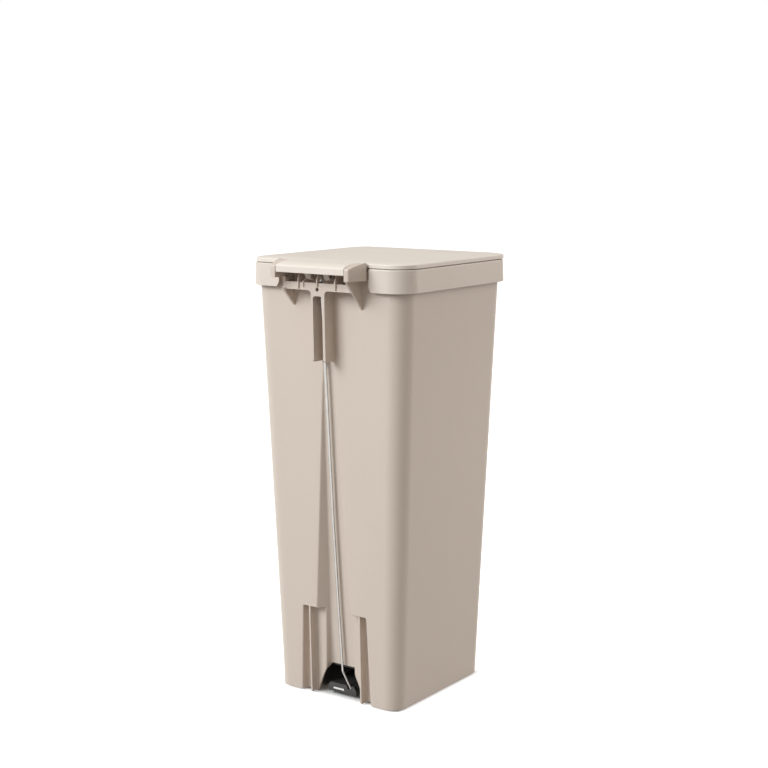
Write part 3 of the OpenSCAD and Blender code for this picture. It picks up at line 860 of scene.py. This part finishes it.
# ---------------------------------------------------------------- carrier screws
# Four pan-head steel screws with a cross recess. They go up through the flanges
# into the bosses under the bin floor.
head_low = roof_low - 2.4
screw_profile = [(0, 0), (1.6, 0.05), (2.5, 0.45), (2.95, 1.2), (3, 2.4), (1.48, 2.4), (1.48, 8),
                 (0.6, 8.4), (0, 8.4)]
screws = []
for x, y in screw_at:
    screw = turned("carrier_screws_visual", screw_profile, (x, y, head_low), "Z", 32)
    cross = [prism("cross", [(x - a, y - b), (x + a, y - b), (x + a, y + b), (x - a, y + b)],
                   head_low - 1, head_low + 1.3, "Z") for a, b in ((1.7, 0.35), (0.35, 1.7))]
    combine(screw, cross, "DIFFERENCE")
    screws.append(screw)
combine(screws[0], screws[1:], "UNION")
fasten(screws[0], pin_steel, "bin", "carrier_screws")

# ---------------------------------------------------------------- pedal axle and its clips
# A ground steel axle across the channel. Two push-on washers of spring steel keep
# it in place.
axle_ends = [(0, -50.5), (2.4, -50.5), (3, -49.9), (3, 49.9), (2.4, 50.5), (0, 50.5)]
axle = turned("pedal_axle_visual", axle_ends, (0, axle_y, axle_z), "X")
fasten(axle, pin_steel, "bin", "pedal_axle")
washer = [(3.02, 0), (5.6, 0), (6, 0.3), (6, 1.1), (5.6, 1.4), (3.02, 1.4)]
washers = [turned("axle_clips_visual", washer, (x, axle_y, axle_z), "X", closed=True)
           for x in (-wall_out - 1.6, wall_out + 0.2)]
combine(washers[0], washers[1:], "UNION")
fasten(washers[0], pin_steel, "bin", "axle_clips")

# ---------------------------------------------------------------- lever buffers
# Two rubber studs, glued under the channel's roof, that quieten the lever's
# stroke.
stud = [(0, 41.2), (2.6, 41.2), (3.6, 41.5), (4, 42.1), (4, roof_low), (0, roof_low)]
studs = [turned("lever_buffers_visual", stud, (x, 80, 0), "Z", 32) for x in (-22.5, 22.5)]
combine(studs[0], studs[1:], "UNION")
fasten(studs[0], black_rubber, "bin", "lever_buffers")

# ---------------------------------------------------------------- feet
# Four rubber feet with a hollow sole. Their stems are pushed up into the posts
# under the bin floor.
foot_profile = [(0, 0.5), (6.4, 0.5), (7, 0), (9, 0), (9.7, 0.35), (10, 1), (10, 3.4), (9.5, foot_top),
                (2.98, foot_top), (2.98, 11.5), (2.2, 12.5), (0, 12.5)]
foot_names = {(-92, -94): "foot_front_left", (92, -94): "foot_front_right",
              (-92, 94): "foot_rear_left", (92, 94): "foot_rear_right"}
for (x, y), node in foot_names.items():
    fasten(turned(node + "_visual", foot_profile, (x, y, 0), "Z", 48), black_rubber, "bin", node)

# ---------------------------------------------------------------- stage and light
# A white floor that runs out of sight and glows of itself, its glow faded out
# round the bin's foot as a painted shadow; surroundings that are brighter above
# than below, and two soft boxes: the main one behind the bin, on its +X side, and
# a weaker one in front of it, on its -X side.
floor_reach = 12000.0
floor = make_piece("floor", [(-floor_reach, -floor_reach, 0), (floor_reach, -floor_reach, 0),
                             (floor_reach, floor_reach, 0), (-floor_reach, floor_reach, 0)], [(0, 1, 2, 3)])
floor.visible_diffuse = False
floor_glow_with_painted_shadow = Finish("floor_glow_with_painted_shadow", Base_Color=(0.85, 0.85, 0.85), Roughness=0.9, Specular_IOR_Level=0.1,
                     Emission_Strength=0.8)
beside = floor_glow_with_painted_shadow.node(
    "ShaderNodeVectorMath", {"operation": "ABSOLUTE"}, {0: floor_glow_with_painted_shadow.place()}, "Vector")
across = floor_glow_with_painted_shadow.node("ShaderNodeSeparateXYZ", {}, {0: beside}, "X")
along = floor_glow_with_painted_shadow.node("ShaderNodeSeparateXYZ", {}, {0: beside}, "Y")
# The floor's glow is 0 within 0.1 m of the middle and full from 0.126 m out, in the larger of |x| and |y|:
# a painted shadow round the bin's foot.
glow_past_painted_shadow = floor_glow_with_painted_shadow.between(across.maths("MAXIMUM", across, along), 0, 1, 0.1, 0.126)
floor_glow_with_painted_shadow.feed("Emission Color", floor_glow_with_painted_shadow.blend(glow_past_painted_shadow, (0, 0, 0), (1, 1, 1)))
floor.data.materials.append(floor_glow_with_painted_shadow.material)


class Surroundings(Finish):
    """What shines on the bin from all sides, made of the same kinds of node as a finish."""

    def __init__(self, name):
        self.world = bpy.data.worlds.new(name)
        self.world.use_nodes = True
        self.tree = self.world.node_tree


studio = Surroundings("studio")
facing = studio.node("ShaderNodeTexCoord", {}, {}, "Generated")
height = studio.node("ShaderNodeSeparateXYZ", {}, {0: facing}, "Z")
up = studio.node("ShaderNodeMapRange", {}, {"Value": height, "From Min": -0.1, "From Max": 0.2})
shine = studio.node("ShaderNodeBackground", {}, {
    "Color": studio.blend(up, (0.21, 0.19, 0.17), (0.56, 0.53, 0.497))})
backdrop = studio.node("ShaderNodeBackground", {}, {"Color": (1, 1, 1)})
seen = studio.node("ShaderNodeLightPath", {}, {}, "Is Camera Ray")
chosen = studio.node("ShaderNodeMixShader", {}, {0: seen, 1: shine, 2: backdrop})
studio.set(studio.tree.nodes["World Output"].inputs["Surface"], chosen)
bpy.context.scene.world = studio.world


middle_height = 0.36


def soft_box(name, azimuth, height, distance, size, power, colour):
    """A square soft light that faces the middle of the bin; azimuth 0 is straight behind the bin."""
    lamp = bpy.data.lights.new(name, "AREA")
    lamp.shape = "SQUARE"
    lamp.size = size
    lamp.energy = power
    lamp.color = colour
    box = bpy.data.objects.new(name, lamp)
    turn = math.radians(azimuth)
    box.location = (math.sin(turn) * distance, math.cos(turn) * distance, height)
    aim = Vector((0, 0, middle_height)) - box.location
    box.rotation_euler = aim.to_track_quat("-Z", "Y").to_euler()
    box.visible_camera = False
    bpy.context.scene.collection.objects.link(box)


soft_box("key_light", 28, 3.0, 4.0, 2.5, 190, (0.93, 0.97, 1.0))
soft_box("side_light", -140, 1.5, 2.8, 1.8, 28, (1, 0.95, 0.9))
bpy.context.scene.view_settings.view_transform = "Standard"
